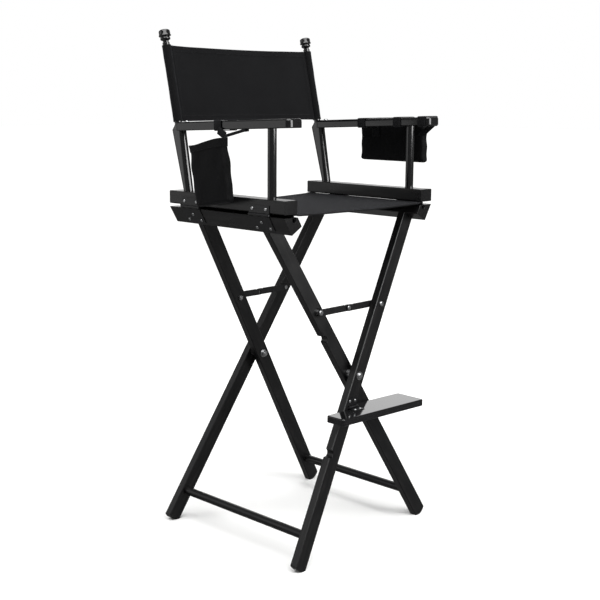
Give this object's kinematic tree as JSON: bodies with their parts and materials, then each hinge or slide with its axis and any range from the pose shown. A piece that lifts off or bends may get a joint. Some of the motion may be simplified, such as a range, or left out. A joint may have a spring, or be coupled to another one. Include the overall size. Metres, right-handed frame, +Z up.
{
  "type": "director chair",
  "caption": "Bar-height folding director's chair with crossed black wooden legs, canvas seat and back sling, turned finials, fold-up footrest and bags on the arms",
  "frame": {"origin": "middle of the chair's footprint on the floor, under the middle of its bounding box", "axes": "+Z up, -Y towards the front of the chair (the footrest side), +X towards the side on the right when seen from the front"},
  "size_m": [0.561, 0.4646, 1.1385],
  "materials": {
    "satin_black_wood": "black satin lacquer over hardwood, arrises slightly rounded",
    "gloss_black_wood": "black gloss lacquer over turned or planed hardwood",
    "dowel_wood": "bare beech dowel",
    "canvas": "black cotton duck, plain weave, hemmed",
    "bag_cloth": "black coated nylon pack cloth with webbing",
    "black_steel": "black-painted pressed steel",
    "zinc_steel": "bright zinc-plated steel"
  },
  "bodies": {
    "outer_frame": {"leg_outer_front": "satin_black_wood", "leg_outer_back": "satin_black_wood", "stretcher_outer": "satin_black_wood", "leg_rail_right": "satin_black_wood", "hinge_lower_leaves_right": "black_steel", "hinge_lower_screws_right": "zinc_steel", "pivot_bolts": "zinc_steel", "pivot_nuts": "zinc_steel", "pivot_washers": "zinc_steel", "pivot_spacers": "zinc_steel", "brace_pins_outer": "zinc_steel", "brace_nuts_outer": "zinc_steel", "footrest_leaf_leg": "black_steel", "footrest_screws_leg": "zinc_steel", "footrest_pin": "zinc_steel", "seat_dowel_right": "dowel_wood", "seat_canvas": "canvas"},
    "inner_frame": {"leg_inner_front": "satin_black_wood", "leg_inner_back": "satin_black_wood", "stretcher_inner": "satin_black_wood", "leg_rail_left": "satin_black_wood", "hinge_lower_leaves_left": "black_steel", "hinge_lower_screws_left": "zinc_steel", "brace_pins_inner": "zinc_steel", "brace_nuts_inner": "zinc_steel", "brace_spacers_inner": "zinc_steel", "seat_dowel_left": "dowel_wood"},
    "right_side": {"seat_rail_right": "satin_black_wood", "hinge_pins_right": "zinc_steel", "hinge_upper_leaves_right": "black_steel", "hinge_upper_screws_right": "zinc_steel", "front_post_right": "gloss_black_wood", "back_post_right": "gloss_black_wood", "arm_right": "gloss_black_wood", "arm_screw_right": "zinc_steel", "finial_right": "gloss_black_wood", "bag_right": "bag_cloth", "bag_straps_right": "bag_cloth", "back_canvas": "canvas"},
    "left_side": {"seat_rail_left": "satin_black_wood", "hinge_pins_left": "zinc_steel", "hinge_upper_leaves_left": "black_steel", "hinge_upper_screws_left": "zinc_steel", "front_post_left": "gloss_black_wood", "back_post_left": "gloss_black_wood", "arm_left": "gloss_black_wood", "arm_screw_left": "zinc_steel", "finial_left": "gloss_black_wood", "bag_left": "bag_cloth", "bag_straps_left": "bag_cloth"},
    "front_link_outer": {"brace_link_front_outer": "black_steel", "brace_rivet_front": "zinc_steel"},
    "front_link_inner": {"brace_link_front_inner": "black_steel"},
    "back_link_outer": {"brace_link_back_outer": "black_steel", "brace_rivet_back": "zinc_steel"},
    "back_link_inner": {"brace_link_back_inner": "black_steel"},
    "footrest": {"footrest_board": "gloss_black_wood", "footrest_leaf_board": "black_steel", "footrest_screws_board": "zinc_steel"}
  },
  "joints": [
    {"name": "scissor", "type": "hinge", "parent": "outer_frame", "child": "inner_frame", "pos_m": [0, 0.00575, 0.3815], "axis": [0, 1, 0], "range_deg": [0, 51.2], "deforming": ["seat_canvas", "back_canvas"]},
    {"name": "right_side_hinge", "type": "hinge", "parent": "outer_frame", "child": "right_side", "pos_m": [0.2425, 0.00575, 0.753], "axis": [0, 1, 0], "range_deg": [0, 27], "deforming": ["seat_canvas", "back_canvas"]},
    {"name": "left_side_hinge", "type": "hinge", "parent": "inner_frame", "child": "left_side", "pos_m": [-0.2425, 0.00575, 0.753], "axis": [0, 1, 0], "range_deg": [-27, 0], "deforming": ["seat_canvas", "back_canvas"]},
    {"name": "front_brace_outer", "type": "hinge", "parent": "outer_frame", "child": "front_link_outer", "pos_m": [0.08908, -0.13855, 0.53097], "axis": [0, 1, 0], "range_deg": [-56, 0]},
    {"name": "front_brace_inner", "type": "hinge", "parent": "inner_frame", "child": "front_link_inner", "pos_m": [-0.08908, -0.13855, 0.53097], "axis": [0, 1, 0], "range_deg": [0, 56]},
    {"name": "back_brace_outer", "type": "hinge", "parent": "outer_frame", "child": "back_link_outer", "pos_m": [0.08908, 0.15005, 0.53097], "axis": [0, 1, 0], "range_deg": [-56, 0]},
    {"name": "back_brace_inner", "type": "hinge", "parent": "inner_frame", "child": "back_link_inner", "pos_m": [-0.08908, 0.15005, 0.53097], "axis": [0, 1, 0], "range_deg": [0, 56]},
    {"name": "footrest_flip", "type": "hinge", "parent": "outer_frame", "child": "footrest", "pos_m": [-0.029, -0.18135, 0.318], "axis": [-0.9996, 0, 0.0279], "range_deg": [0, 90]}
  ],
  "couplings": [
    {"joint": "right_side_hinge", "follows": "scissor", "ratio": 0.5},
    {"joint": "left_side_hinge", "follows": "scissor", "ratio": -0.5},
    {"joint": "front_brace_outer", "follows": "scissor", "ratio": -1.0586},
    {"joint": "front_brace_inner", "follows": "scissor", "ratio": 1.0586},
    {"joint": "back_brace_outer", "follows": "scissor", "ratio": -1.0586},
    {"joint": "back_brace_inner", "follows": "scissor", "ratio": 1.0586}
  ]
}
